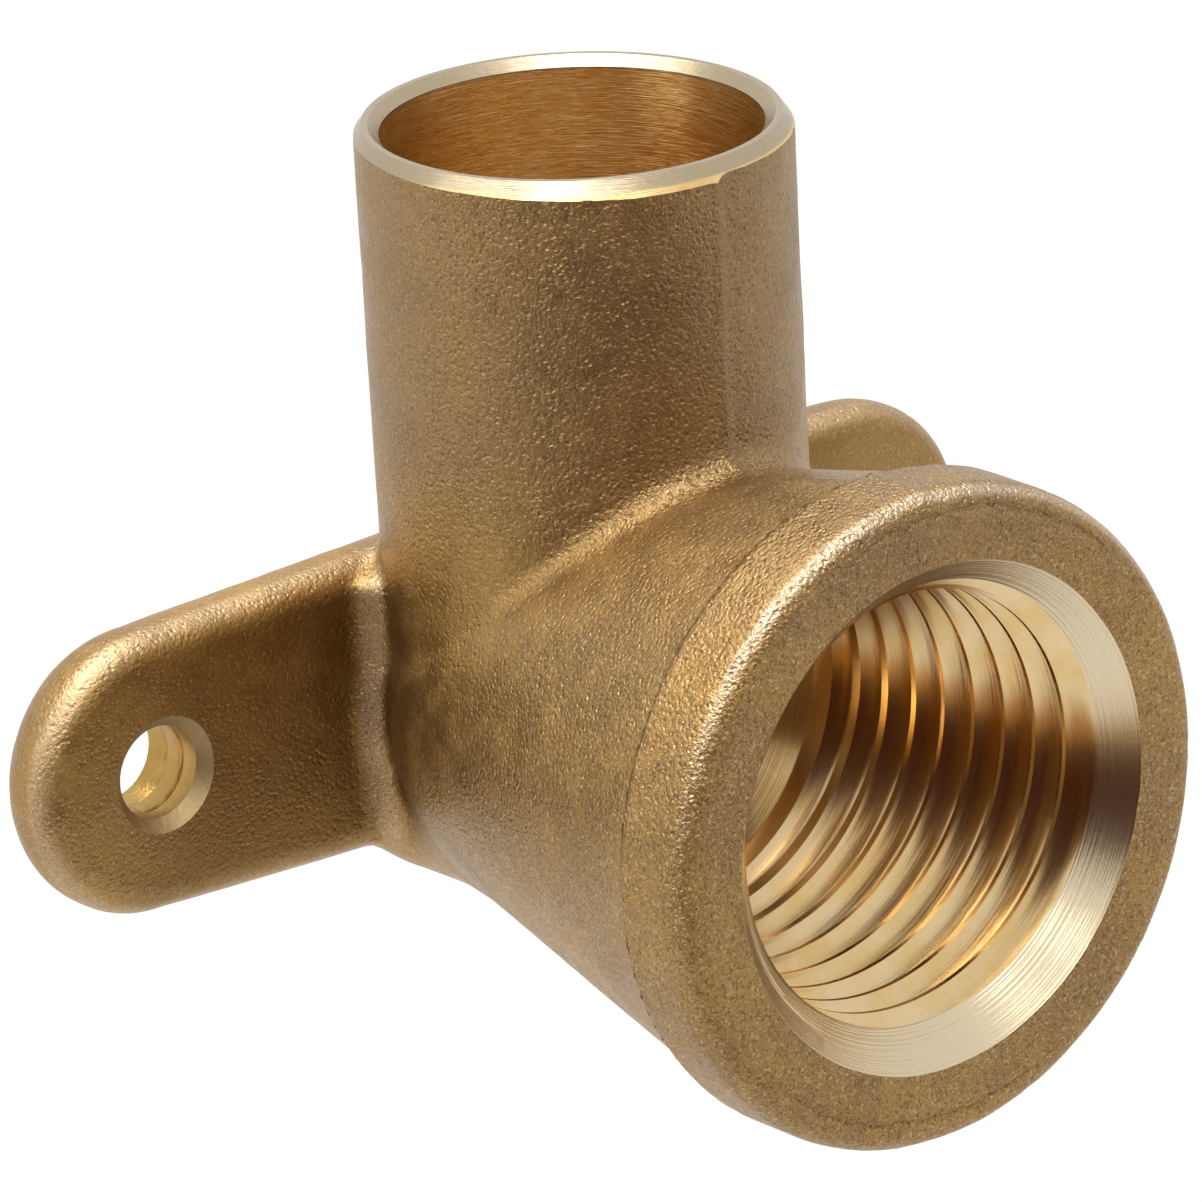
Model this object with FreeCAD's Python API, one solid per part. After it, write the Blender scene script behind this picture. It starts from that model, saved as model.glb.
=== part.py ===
import FreeCAD, Part
import math
import os
from FreeCAD import Vector

# Wall plate elbow, one casting. The wall is the plane y = 0 and the outlet axis is the Y axis, so the
# origin is where the outlet axis meets the wall. The solder cup points up (+Z), the outlet forward (-Y).

# Solder cup for half inch copper tube
cup_bore_r = 7.99
cup_wall = 1.07
cup_depth = 12.7
cup_top_z = 25.2
cup_to_wall = 0.04
rim_inner_chamfer = 0.44
rim_bevel_width = 0.51
rim_bevel_height = 0.71

# Outlet, bored for a half inch taper pipe thread
outlet_reach = 21.8
bore_end = 3.6
bore_taper_depth = 6.72
back_length = 0.9
back_step = 0.1
mouth_r = 10.91
mouth_angle = 45.0

# Thread in the outlet: its crest is measured at the outlet's face, and its taper on the diameter
thread_crest_r = 9.16
thread_pitch = 1.814
thread_taper = 1 / 16
thread_flank_angle = 30.0
thread_root_cut = 0.06
thread_crest_flat = 0.025
thread_crest_sink = 0.05
thread_run_out = 1.83
thread_lead = 1.0

# Barrel: a ball behind the cup axis that runs into a flare toward the collar
barrel_r = 9.67
flare_start = -0.5
flare_angle = 12.43

# Collar at the mouth, with a raised land around the opening
collar_r = 14.05
collar_start = 17.75
collar_ramp = 0.3
collar_round = 1.0
land_r = 12.7
land_height = 0.1

# Water way between the cup and the outlet
passage_r = 6.9
water_way_r = 7.5

# Ears
ear_span = 50.8
ear_thickness = 4.0
ear_end_r = 6.2
ear_taper = 1.95
ear_front_round = 1.3
ear_back_round = 2.4

# Screw holes
screw_spacing = 38.1
screw_hole_r = 2.0
screw_chamfer = 0.52

# Blends of the casting
cup_blend_r = 1.0
cup_blend_floor = -3.0
ear_blend_r = 1.3
ear_blend_back = -0.8
ear_blend_margin = 0.4
ear_blend_sink = 0.02
heel_round = 1.6

# How far a tool runs past the face it breaks through
overrun = 1.0

# Lengths closer than this are the same
same = 1e-6

cup_outer_r = cup_bore_r + cup_wall
cup_axis_y = -(cup_outer_r + cup_to_wall)
ear_centre_x = ear_span / 2 - ear_end_r
flare = math.radians(flare_angle)
ball_r = barrel_r / math.cos(flare)
ball_reach = flare_start + barrel_r * math.tan(flare)
forward = Vector(0, -1, 0)
thread_lean = thread_taper / 2
bore_r = thread_crest_r - bore_taper_depth * thread_lean


def at_reach(reach):
    """Point on the outlet axis, this far in front of the cup axis."""
    return Vector(0, cup_axis_y - reach, 0)


def arc_middle(centre_reach, centre_r, radius, degrees):
    """(reach, radius) of the point of an arc at an angle from the outlet axis."""
    angle = math.radians(degrees)
    return (centre_reach + radius * math.cos(angle), centre_r + radius * math.sin(angle))


def revolve(profile):
    """Solid of revolution about the outlet axis.

    profile is a list of (reach, radius) points. A pair of points in place of one is the middle and the
    end of an arc.
    """
    def spot(point):
        return at_reach(point[0]) + Vector(point[1], 0, 0)

    edges = []
    here = spot(profile[0])
    for step in profile[1:] + profile[:1]:
        if isinstance(step[0], tuple):
            there = spot(step[1])
            edges.append(Part.Arc(here, spot(step[0]), there).toShape())
        else:
            there = spot(step)
            edges.append(Part.makeLine(here, there))
        here = there
    return Part.Face(Part.Wire(edges)).revolve(Vector(0, 0, 0), Vector(0, 1, 0), 360)


def round_radius(face):
    """Radius of a cylindrical face, or 0 for any other face."""
    if isinstance(face.Surface, Part.Cylinder):
        return face.Surface.Radius
    return 0.0


def edges_on_post(shape, belongs, post_r=cup_outer_r):
    """Edges between the upright cup's outside and a face that belongs() accepts."""
    found = []
    for edge in shape.Edges:
        faces = shape.ancestorsOfType(edge, Part.Face)
        if len(faces) != 2:
            continue
        on_post = [abs(round_radius(face) - post_r) < same for face in faces]
        if on_post.count(True) == 1 and belongs(faces[on_post.index(False)]):
            found.append(edge)
    return found


def make_barrel():
    """Ball, flare and collar, solid."""
    collar_front = outlet_reach - land_height
    round_reach = collar_front - collar_round
    round_r = collar_r - collar_round
    flare_end_r = barrel_r + math.tan(flare) * (collar_start - flare_start)
    return revolve([
        (ball_reach - ball_r, 0),
        (arc_middle(ball_reach, 0, ball_r, 135), (flare_start, barrel_r)),
        (collar_start, flare_end_r),
        (collar_start + collar_ramp, collar_r),
        (round_reach, collar_r),
        (arc_middle(round_reach, round_r, collar_round, 45), (collar_front, round_r)),
        (collar_front, land_r + land_height),
        (outlet_reach, land_r),
        (outlet_reach, 0),
    ])


def make_post():
    """Upright cup outside, solid, from below the barrel to the bevelled rim."""
    foot = Vector(0, cup_axis_y, -barrel_r - overrun)
    shoulder = Vector(0, cup_axis_y, cup_top_z - rim_bevel_height)
    post = Part.makeCylinder(cup_outer_r, shoulder.z - foot.z, foot)
    rim = Part.makeCone(cup_outer_r, cup_outer_r - rim_bevel_width, rim_bevel_height, shoulder)
    return post.fuse(rim)


def make_heel(post):
    """Lower end of the post behind the flare, closed by the barrel's curve, with a rounded edge."""
    depth = cup_outer_r + overrun
    tunnel = Part.makeCylinder(barrel_r, depth, at_reach(flare_start), -forward)
    corner = Vector(-depth, cup_axis_y - depth, -barrel_r - overrun)
    below = Part.makeBox(2 * depth, 2 * depth, -corner.z, corner)
    heel = post.common(below).common(tunnel)
    rim = edges_on_post(heel, lambda face: abs(round_radius(face) - barrel_r) < same)
    return heel.makeFillet(heel_round, rim)


def make_blended_cup(post, barrel):
    """Post on the barrel with the hollow blend between them, down to the blend's floor."""
    size = 2 * (outlet_reach + cup_top_z)
    above = Part.makeBox(size, size, size, Vector(-size / 2, -size, cup_blend_floor))
    joined = post.fuse(barrel).removeSplitter().common(above)
    crease = edges_on_post(joined, lambda face: isinstance(face.Surface, (Part.Cone, Part.Sphere))
                           and face.BoundBox.ZMax < cup_top_z - rim_bevel_height)
    return joined.makeFillet(cup_blend_r, crease)


def make_ear(sink=0.0):
    """Half of the ear plate on the +X side, with its whole surface sunk by this much."""
    lean = math.radians(ear_taper)
    end_r = ear_end_r - sink
    touch = Vector(ear_centre_x + end_r * math.sin(lean), -sink, end_r * math.cos(lean))
    middle = Vector(0, -sink, touch.z + touch.x * math.tan(lean))
    tip = Vector(ear_centre_x + end_r, -sink, 0)
    low_touch = Vector(touch.x, -sink, -touch.z)
    low_middle = Vector(0, -sink, -middle.z)
    outline = Part.Wire([
        Part.makeLine(middle, touch),
        Part.Arc(touch, tip, low_touch).toShape(),
        Part.makeLine(low_touch, low_middle),
        Part.makeLine(low_middle, middle),
    ])
    plate = Part.Face(outline).extrude(forward * (ear_thickness - 2 * sink))

    def outer_edges(y):
        found = []
        for edge in plate.Edges:
            box = edge.BoundBox
            if box.YLength < same and abs(box.YMax - y) < same and box.XMax > same:
                found.append(edge)
        return found

    plate = plate.makeFillet(ear_front_round - sink, outer_edges(sink - ear_thickness))
    return plate.makeFillet(ear_back_round - sink, outer_edges(-sink))


def make_ear_root():
    """Hollow blend where the +X ear leaves the post, cut off just in front of the wall."""
    reach = ear_thickness + 2 * ear_blend_r
    post_r = cup_outer_r - ear_blend_sink
    start_x = cup_outer_r / 3
    end_x = cup_outer_r + 2 * ear_blend_r
    corner = Vector(start_x, -reach, -barrel_r)
    around = Part.makeBox(end_x - start_x, reach + ear_blend_back, 2 * barrel_r, corner)
    post = Part.makeCylinder(post_r, 4 * barrel_r, Vector(0, cup_axis_y, -2 * barrel_r))
    joined = post.fuse(make_ear(ear_blend_sink)).removeSplitter().common(around)

    def on_ear(face):
        middle = face.CenterOfMass
        within_x = start_x + same < middle.x < end_x - same
        within_y = -reach + same < middle.y < ear_blend_back - same
        return within_x and within_y and abs(middle.z) < barrel_r - same

    blended = joined.makeFillet(ear_blend_r, edges_on_post(joined, on_ear, post_r))
    above = Part.makeBox(end_x, reach, ear_end_r + barrel_r, Vector(0, -reach, -ear_end_r))
    hull = Part.makeCylinder(barrel_r + ear_blend_margin, 2 * reach, Vector(0, reach, 0), forward)
    keep = hull.fuse(Part.makeBox(end_x, reach, barrel_r, Vector(0, -reach, 0)))
    return blended.common(above).common(keep)


def mirrored(shape):
    """Copy on the other side of the plane x = 0."""
    return shape.mirror(Vector(0, 0, 0), Vector(1, 0, 0))


def make_casting():
    """Outside of the elbow as one solid, before boring."""
    post = make_post()
    barrel = make_barrel()
    ear = make_ear()
    root = make_ear_root()
    casting = make_blended_cup(post, barrel)
    for piece in (make_heel(post), barrel, ear, mirrored(ear)):
        casting = casting.fuse(piece)
    casting = casting.removeSplitter()
    for piece in (root, mirrored(root)):
        casting = casting.fuse(piece)
    return casting.removeSplitter()


def make_cup_bore():
    """Tube socket with its lead-in, and the passage below the stop."""
    stop = Vector(0, cup_axis_y, cup_top_z - cup_depth)
    lead = Vector(0, cup_axis_y, cup_top_z - rim_inner_chamfer)
    socket = Part.makeCylinder(cup_bore_r, cup_depth + overrun, stop)
    chamfer = Part.makeCone(cup_bore_r, cup_bore_r + 2 * rim_inner_chamfer, 2 * rim_inner_chamfer, lead)
    passage = Part.makeCylinder(passage_r, stop.z, Vector(0, cup_axis_y, 0))
    return socket.fuse(chamfer).fuse(passage)


def make_outlet_bore():
    """Bore with its mouth chamfer, tapered to the bore's own radius, a narrower plain stretch at the back
    of it, and the round-ended water way."""
    mouth_slope = math.tan(math.radians(mouth_angle))
    mouth_depth = (mouth_r - thread_crest_r) / (mouth_slope - thread_lean)
    back_r = bore_r - back_step
    return revolve([
        (-water_way_r, 0),
        (arc_middle(0, 0, water_way_r, 135), (0, water_way_r)),
        (bore_end - (back_r - water_way_r), water_way_r),
        (bore_end, back_r),
        (bore_end + back_length, back_r),
        (bore_end + back_length + back_step, bore_r),
        (outlet_reach - bore_taper_depth, bore_r),
        (outlet_reach - mouth_depth, thread_crest_r - mouth_depth * thread_lean),
        (outlet_reach + overrun, mouth_r + overrun * mouth_slope),
        (outlet_reach + overrun, 0),
    ])


def make_tap():
    """Space that the tap cuts: a right-hand groove wound on a cone, from its inner end out of the mouth."""
    start = bore_end + thread_run_out
    spread = math.tan(math.radians(thread_flank_angle))
    half_mouth = (thread_pitch - thread_crest_flat) / 2
    half_root = thread_root_cut * spread
    depth = (half_mouth - half_root) / spread
    mouth_side_r = thread_crest_r - thread_crest_sink - (outlet_reach - start) * thread_lean
    root_r = mouth_side_r + depth
    turns = Part.makeLongHelix(
        thread_pitch, outlet_reach + thread_lead - start, root_r, math.degrees(math.atan(thread_lean)))
    corners = [
        Vector(mouth_side_r, 0, -half_mouth),
        Vector(root_r, 0, -half_root),
        Vector(root_r, 0, half_root),
        Vector(mouth_side_r, 0, half_mouth),
    ]
    groove = turns.makePipeShell([Part.makePolygon(corners + corners[:1])], True, True)
    groove.rotate(Vector(0, 0, 0), Vector(1, 0, 0), 90)
    groove.translate(at_reach(start))
    return groove


def make_screw_hole(x):
    """Screw hole through an ear, with the chamfer on its front."""
    start = Vector(x, overrun, 0)
    hole = Part.makeCylinder(screw_hole_r, ear_thickness + 2 * overrun, start, forward)
    chamfer = Part.makeCone(
        screw_hole_r, screw_hole_r + 2 * screw_chamfer, 2 * screw_chamfer,
        Vector(x, -(ear_thickness - screw_chamfer), 0), forward)
    return hole.fuse(chamfer)


elbow = make_casting()
elbow = elbow.cut(make_cup_bore())
elbow = elbow.cut(make_outlet_bore())
elbow = elbow.cut(make_tap())
for hole_x in (-screw_spacing / 2, screw_spacing / 2):
    elbow = elbow.cut(make_screw_hole(hole_x))
elbow = elbow.removeSplitter().Solids[0]

os.makedirs("parts", exist_ok=True)
elbow.exportStep("parts/elbow.step")
print("elbow", elbow.ShapeType, "solids", len(elbow.Solids), "faces", len(elbow.Faces))
print("valid", elbow.isValid(), "volume", round(elbow.Volume, 1))
print("box", elbow.optimalBoundingBox(False, False))
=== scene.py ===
"""Wall plate elbow: a sand-cast bronze body with a bright machined cup, thread and screw holes."""

import logging
import math
from dataclasses import dataclass, field
from enum import Enum
from typing import Any, Callable, Sequence

import bmesh
import bpy
import numpy as np
from mathutils import Matrix, Vector


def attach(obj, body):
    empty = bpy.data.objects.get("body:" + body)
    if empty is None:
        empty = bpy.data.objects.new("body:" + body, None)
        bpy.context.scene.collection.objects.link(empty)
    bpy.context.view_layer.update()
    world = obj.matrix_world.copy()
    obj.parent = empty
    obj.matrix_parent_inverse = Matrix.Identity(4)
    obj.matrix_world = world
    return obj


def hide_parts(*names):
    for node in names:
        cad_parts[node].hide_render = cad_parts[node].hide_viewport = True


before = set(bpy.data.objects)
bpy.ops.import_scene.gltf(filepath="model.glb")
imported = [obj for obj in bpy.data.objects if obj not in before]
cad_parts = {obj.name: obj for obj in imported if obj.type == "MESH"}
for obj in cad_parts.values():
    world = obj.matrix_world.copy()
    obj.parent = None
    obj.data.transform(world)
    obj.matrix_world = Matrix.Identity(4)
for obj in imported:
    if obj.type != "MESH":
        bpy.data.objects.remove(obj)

log = logging.getLogger("wall_plate_elbow")

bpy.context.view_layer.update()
MM = 0.001
TINY = 1e-9
TOOL_WELD = 1e-5
CASTING_WELD = 1e-4
Colour = tuple[float, float, float]
Point = tuple[float, float, float]
Span = tuple[float, float]
Window = tuple[float, float, float, float]
Waves = tuple[tuple[int, float, float], ...]
Profile = Sequence[tuple[float, float]]
Distances = np.ndarray


class Skin(Enum):
    """Surfaces of the finished casting, in the order of its material slots."""

    CAST = 0
    CUP = 1
    THREAD = 2
    HOLE = 3


class Along(Enum):
    """The row axis that a machined surface was turned about."""

    OUTLET = "Y"
    UPRIGHT = "Z"


class Sock:
    """An output socket that takes part in Python arithmetic by adding Math nodes."""

    def __init__(self, tree: "Tree", socket: bpy.types.NodeSocket) -> None:
        """Keeps the socket and the tree that it belongs to."""
        self.tree = tree
        self.socket = socket

    def math(self, operation: str, *values: Any) -> "Sock":
        """Result of one Math node whose inputs, each a number or a Sock, come in order."""
        return self.tree.node("ShaderNodeMath", {"operation": operation}, dict(enumerate(values)))

    def __add__(self, other: Any) -> "Sock":
        """Sum of two values."""
        return self.math("ADD", self, other)

    def __radd__(self, other: Any) -> "Sock":
        """Sum with a number on the left."""
        return self.math("ADD", other, self)

    def __sub__(self, other: Any) -> "Sock":
        """Difference of two values."""
        return self.math("SUBTRACT", self, other)

    def __rsub__(self, other: Any) -> "Sock":
        """Difference with a number on the left."""
        return self.math("SUBTRACT", other, self)

    def __mul__(self, other: Any) -> "Sock":
        """Product of two values."""
        return self.math("MULTIPLY", self, other)

    def __rmul__(self, other: Any) -> "Sock":
        """Product with a number on the left."""
        return self.math("MULTIPLY", other, self)

    def __truediv__(self, other: Any) -> "Sock":
        """Quotient of two values."""
        return self.math("DIVIDE", self, other)

    def __rtruediv__(self, other: Any) -> "Sock":
        """Quotient with a number on the left."""
        return self.math("DIVIDE", other, self)

    def absolute(self) -> "Sock":
        """The value without its sign."""
        return self.math("ABSOLUTE", self)

    def root(self) -> "Sock":
        """Square root of the value."""
        return self.math("SQRT", self)

    def step(self, low: float, high: float) -> "Sock":
        """Smooth rise from 0 at low to 1 at high."""
        return self.tree.node("ShaderNodeMapRange", {"interpolation_type": "SMOOTHSTEP"},
                              {"Value": self, "From Min": low, "From Max": high})

    def window(self, span: Window) -> "Sock":
        """Smooth rise between a span's first two values and smooth fall between its last two."""
        return self.step(span[0], span[1]) * (1.0 - self.step(span[2], span[3]))


class Tree:
    """A node tree that is written as a list of calls."""

    def __init__(self, tree: bpy.types.NodeTree) -> None:
        """Clears the tree and keeps it."""
        self.tree = tree
        tree.nodes.clear()

    def make(self, kind: str, settings: dict[str, Any] | None = None,
             sockets: dict[Any, Any] | None = None) -> bpy.types.Node:
        """Adds one node.

        Args:
            kind: The node's type.
            settings: Its own settings, which are set first.
            sockets: Values or Socks by input name or number.

        Returns:
            The node.
        """
        node = self.tree.nodes.new(kind)
        for name, value in (settings or {}).items():
            setattr(node, name, value)
        for name, value in (sockets or {}).items():
            if isinstance(value, Sock):
                self.tree.links.new(value.socket, node.inputs[name])
            else:
                node.inputs[name].default_value = value
        return node

    def node(self, kind: str, settings: dict[str, Any] | None = None,
             sockets: dict[Any, Any] | None = None, output: Any = 0) -> Sock:
        """Adds one node as make does, and returns one of its outputs as a Sock."""
        return Sock(self, self.make(kind, settings, sockets).outputs[output])

    def parts(self, vector: Sock) -> list[Sock]:
        """The three coordinates of a vector."""
        split = self.make("ShaderNodeSeparateXYZ", None, {"Vector": vector})
        return [Sock(self, socket) for socket in split.outputs]

    def place_mm(self) -> Sock:
        """The shaded point's place on the object, in millimetres."""
        return self.scaled(self.node("ShaderNodeTexCoord", output="Object"), 1.0 / MM)

    def mix(self, factor: Any, first: Any, second: Any) -> Sock:
        """Mixes two colours, each a tuple of three numbers or a Sock."""
        ends = [value if isinstance(value, Sock) else (*value, 1.0) for value in (first, second)]
        return self.node("ShaderNodeMix", {"data_type": "RGBA"},
                         {0: factor, 6: ends[0], 7: ends[1]}, output=2)

    def scaled(self, vector: Sock, factor: Any) -> Sock:
        """A vector times a number or a Sock."""
        return self.node("ShaderNodeVectorMath", {"operation": "SCALE"}, {0: vector, "Scale": factor})

    def noise(self, vector: Sock, scale: Any, detail: float = 2.0, rough: float = 0.5) -> Sock:
        """Noise value of about 0 to 1."""
        return self.node("ShaderNodeTexNoise", {"noise_dimensions": "3D"},
                         {"Vector": vector, "Scale": scale, "Detail": detail, "Roughness": rough})

    def bump(self, height: Sock, depth: float, strength: float = 1.0) -> Sock:
        """Normal from a height of 0 to 1, where 1 stands for a depth in metres."""
        return self.node("ShaderNodeBump", None, {"Height": height, "Distance": depth, "Strength": strength})

    def surface(self, shader: Sock) -> None:
        """Ends a material's tree in a shader."""
        self.make("ShaderNodeOutputMaterial", None, {"Surface": shader})


class NodeShape:
    """A Geometry Nodes tree with named inputs, run once and turned into a plain mesh."""

    def __init__(self, name: str, inputs: dict[str, Any]) -> None:
        """Makes the tree and its inputs.

        Args:
            name: The tree's name.
            inputs: Input name to value. A number makes a float or integer input, a Material its own kind.
        """
        group = bpy.data.node_groups.new(name, "GeometryNodeTree")
        self.group = group
        self.tree = Tree(group)
        self.values = inputs
        group.interface.new_socket("Geometry", in_out="OUTPUT", socket_type="NodeSocketGeometry")
        group.interface.new_socket("Geometry", in_out="INPUT", socket_type="NodeSocketGeometry")
        self.names: dict[str, str] = {}
        for label, value in inputs.items():
            kind = "NodeSocketFloat"
            if isinstance(value, bpy.types.Material):
                kind = "NodeSocketMaterial"
            elif isinstance(value, int):
                kind = "NodeSocketInt"
            item = group.interface.new_socket(label, in_out="INPUT", socket_type=kind)
            self.names[label] = item.identifier
        self.source = self.tree.make("NodeGroupInput")

    def __getitem__(self, label: str) -> Sock:
        """One of the tree's inputs."""
        return Sock(self.tree, self.source.outputs[label])

    def close(self, geometry: Sock) -> None:
        """Ends the tree in Realize Instances and Set Material.

        Args:
            geometry: What the tree has made.
        """
        real = self.tree.node("GeometryNodeRealizeInstances", None, {"Geometry": geometry})
        dressed = self.tree.node("GeometryNodeSetMaterial", None,
                                 {"Geometry": real, "Material": self["Material"]})
        self.tree.make("NodeGroupOutput", None, {"Geometry": dressed})

    def run(self, mesh: bpy.types.Mesh) -> bpy.types.Mesh:
        """Runs the tree on a mesh.

        Args:
            mesh: What goes into the tree.

        Returns:
            The result as a plain mesh.
        """
        thing = add_object(self.group.name, mesh)
        modifier = thing.modifiers.new(self.group.name, "NODES")
        modifier.node_group = self.group
        for label, value in self.values.items():
            modifier[self.names[label]] = value
        result = plain_mesh(thing)
        bpy.data.objects.remove(thing)
        return result


def add_object(name: str, data: Any) -> bpy.types.Object:
    """Puts a mesh, a lamp or a camera into the scene.

    Args:
        name: The object's name.
        data: What it shows.

    Returns:
        The new object.
    """
    thing = bpy.data.objects.new(name, data)
    bpy.context.scene.collection.objects.link(thing)
    return thing


def new_material(name: str) -> tuple[bpy.types.Material, Tree]:
    """Makes an empty material.

    Args:
        name: The material's name.

    Returns:
        The material and the tree to fill.
    """
    material = bpy.data.materials.new(name)
    material.use_nodes = True
    return material, Tree(material.node_tree)


def plain_mesh(thing: bpy.types.Object) -> bpy.types.Mesh:
    """An object's mesh with its modifiers carried out."""
    graph = bpy.context.evaluated_depsgraph_get()
    return bpy.data.meshes.new_from_object(thing.evaluated_get(graph), preserve_all_data_layers=True,
                                           depsgraph=graph)


def mesh_of(name: str, points: Any, faces: Any) -> bpy.types.Mesh:
    """Makes a mesh from points and faces.

    Args:
        name: The mesh's name.
        points: Rows of x, y, z.
        faces: Rows of point numbers.

    Returns:
        The mesh, in the units of the points.
    """
    mesh = bpy.data.meshes.new(name)
    mesh.from_pydata([tuple(p) for p in points], [], [tuple(f) for f in faces])
    mesh.update()
    return mesh


def outward(mesh: bpy.types.Mesh) -> bpy.types.Mesh:
    """Merges a closed mesh's doubles and turns its faces outwards.

    Args:
        mesh: The mesh, in millimetres.

    Returns:
        The same mesh.
    """
    shape = bmesh.new()
    shape.from_mesh(mesh)
    bmesh.ops.remove_doubles(shape, verts=shape.verts, dist=TOOL_WELD)
    bmesh.ops.recalc_face_normals(shape, faces=shape.faces)
    shape.to_mesh(mesh)
    shape.free()
    return mesh


def lathe(name: str, profile: Profile, place: Matrix, segments: int,
          slots: Callable[[int], int] = lambda step: 0) -> bpy.types.Mesh:
    """Makes a solid turned about its own Z axis.

    Args:
        name: The mesh's name.
        profile: (along, radius) points from one end of the axis to the other, both ends on the axis.
        place: Where the solid goes.
        segments: Faces in one turn.
        slots: Material slot of each step of the profile.

    Returns:
        The closed mesh, in millimetres.
    """
    shape = bmesh.new()
    turns = [2 * math.pi * k / segments for k in range(segments)]
    rings = []
    for along, radius in profile:
        if radius < TINY:
            rings.append([shape.verts.new((0, 0, along))] * segments)
        else:
            spots = [(radius * math.cos(t), radius * math.sin(t), along) for t in turns]
            rings.append([shape.verts.new(spot) for spot in spots])
    for step, (low, high) in enumerate(zip(rings, rings[1:])):
        for k in range(segments):
            after = (k + 1) % segments
            corners = list(dict.fromkeys((low[k], low[after], high[after], high[k])))
            if len(corners) > 2:
                shape.faces.new(corners).material_index = slots(step)
    bmesh.ops.recalc_face_normals(shape, faces=shape.faces)
    bmesh.ops.transform(shape, matrix=place, verts=shape.verts)
    mesh = bpy.data.meshes.new(name)
    shape.to_mesh(mesh)
    shape.free()
    return mesh


def ring(name: str, section: Profile, place: Matrix, segments: int,
         sway: Callable[[float], Span]) -> bpy.types.Mesh:
    """Makes a closed ring about its own Z axis, whose section sways as it goes round.

    Args:
        name: The mesh's name.
        section: (along, radius) corners of the section.
        place: Where the ring goes.
        segments: Sections in one turn.
        sway: How far the section moves (along, outward) at an angle.

    Returns:
        The closed mesh, in millimetres.
    """
    points, faces = [], []
    count = len(section)
    for k in range(segments):
        turn = 2 * math.pi * k / segments
        lift, out = sway(turn)
        for along, radius in section:
            reach = radius + out
            points.append(place @ Vector((reach * math.cos(turn), reach * math.sin(turn), along + lift)))
        after = (k + 1) % segments
        for j in range(count):
            step = (j + 1) % count
            faces.append((k * count + j, k * count + step, after * count + step, after * count + j))
    return outward(mesh_of(name, points, faces))


def arc(centre: Span, radius: float, start: float, end: float, steps: int) -> list[Span]:
    """Points of an arc in a profile, with angles in degrees from the axis."""
    turns = [math.radians(start + (end - start) * k / steps) for k in range(steps + 1)]
    return [(centre[0] + radius * math.cos(t), centre[1] + radius * math.sin(t)) for t in turns]


def ripple(turn: Any, waves: Waves) -> Any:
    """Sum of waves round a ring, each a count, a start and a height."""
    return sum(height * np.sin(count * turn + start) for count, start, height in waves)


def rise(value: Distances, low: float, high: float) -> Distances:
    """Smooth rise from 0 at low to 1 at high, for arrays."""
    part = np.clip((value - low) / (high - low), 0.0, 1.0)
    return part * part * (3.0 - 2.0 * part)


def round_corner(first: Distances, second: Distances, radius: Any) -> Distances:
    """Rounds the edge between two faces.

    Args:
        first: Distance to one face, negative inside.
        second: Distance to the other face.
        radius: Radius of the edge.

    Returns:
        Distance to the space inside both faces.
    """
    first = first + radius
    second = second + radius
    outside = np.hypot(np.maximum(first, 0), np.maximum(second, 0))
    return np.minimum(np.maximum(first, second), 0) + outside - radius


def hollow_blend(first: Distances, second: Distances, radius: Any) -> Distances:
    """Distance to two bodies joined by a hollow round."""
    inside = np.hypot(np.maximum(radius - first, 0), np.maximum(radius - second, 0))
    return np.maximum(radius, np.minimum(first, second)) - inside


def band_blend(first: Distances, second: Distances, size: Any, soft: float) -> Distances:
    """Distance to two bodies joined by a flat band of this setback, with softened edges."""
    band = (first + second - size) * math.sqrt(0.5)
    return hollow_blend(np.minimum(first, second), band, soft)


def net_points(value: Distances) -> tuple[np.ndarray, np.ndarray]:
    """Puts a point in each grid cell that the surface crosses, at the mean of the crossings of its edges.

    Args:
        value: Signed distances on a grid.

    Returns:
        The points in grid steps, and the number of each cell's point, -1 where it has none.
    """
    cells = tuple(n - 1 for n in value.shape)
    corners = [(a, b, c) for a in (0, 1) for b in (0, 1) for c in (0, 1)]

    def corner(offset: tuple[int, int, int]) -> np.ndarray:
        """Distances at one corner of every cell."""
        return value[tuple(slice(o, o + n) for o, n in zip(offset, cells))]

    inside = sum((corner(c) < 0).astype(np.int8) for c in corners)
    mixed = (inside > 0) & (inside < len(corners))
    number = np.full(cells, -1, dtype=np.int64)
    number[mixed] = np.arange(mixed.sum())
    total = np.zeros((mixed.sum(), 3))
    count = np.zeros(mixed.sum())
    for one in corners:
        for axis in range(3):
            if one[axis]:
                continue
            other = tuple(v + (k == axis) for k, v in enumerate(one))
            a = corner(one)[mixed]
            b = corner(other)[mixed]
            cross = (a < 0) != (b < 0)
            along = np.where(cross, a / np.where(cross, a - b, 1.0), 0.0)
            spot = np.tile(np.array(one, dtype=float), (len(a), 1))
            spot[:, axis] += along
            total += spot * cross[:, None]
            count += cross
    return np.argwhere(mixed) + total / count[:, None], number


def net_faces(value: Distances, number: np.ndarray) -> np.ndarray:
    """Puts a quad across each grid edge that the surface crosses.

    Args:
        value: Signed distances on a grid.
        number: The number of each cell's point.

    Returns:
        Quads that face outwards, as point numbers.
    """
    cells = number.shape
    faces = []
    for axis in range(3):
        first, second = [k for k in range(3) if k != axis]
        inner = [slice(1, n) for n in cells]
        here, there = list(inner), list(inner)
        here[axis] = slice(0, cells[axis])
        there[axis] = slice(1, cells[axis] + 1)
        a = value[tuple(here)] < 0
        b = value[tuple(there)] < 0
        spots = np.argwhere(a != b)
        leaving = a[a != b]
        spots[:, first] += 1
        spots[:, second] += 1
        back_first, back_second = np.zeros(3, int), np.zeros(3, int)
        back_first[first], back_second[second] = 1, 1
        around = [spots - back_first - back_second, spots - back_second, spots, spots - back_first]
        quad = np.stack([number[tuple(cell.T)] for cell in around], axis=1)
        flip = leaving if axis == 1 else ~leaving
        quad[flip] = quad[flip][:, ::-1]
        faces.append(quad)
    return np.concatenate(faces)


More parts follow.
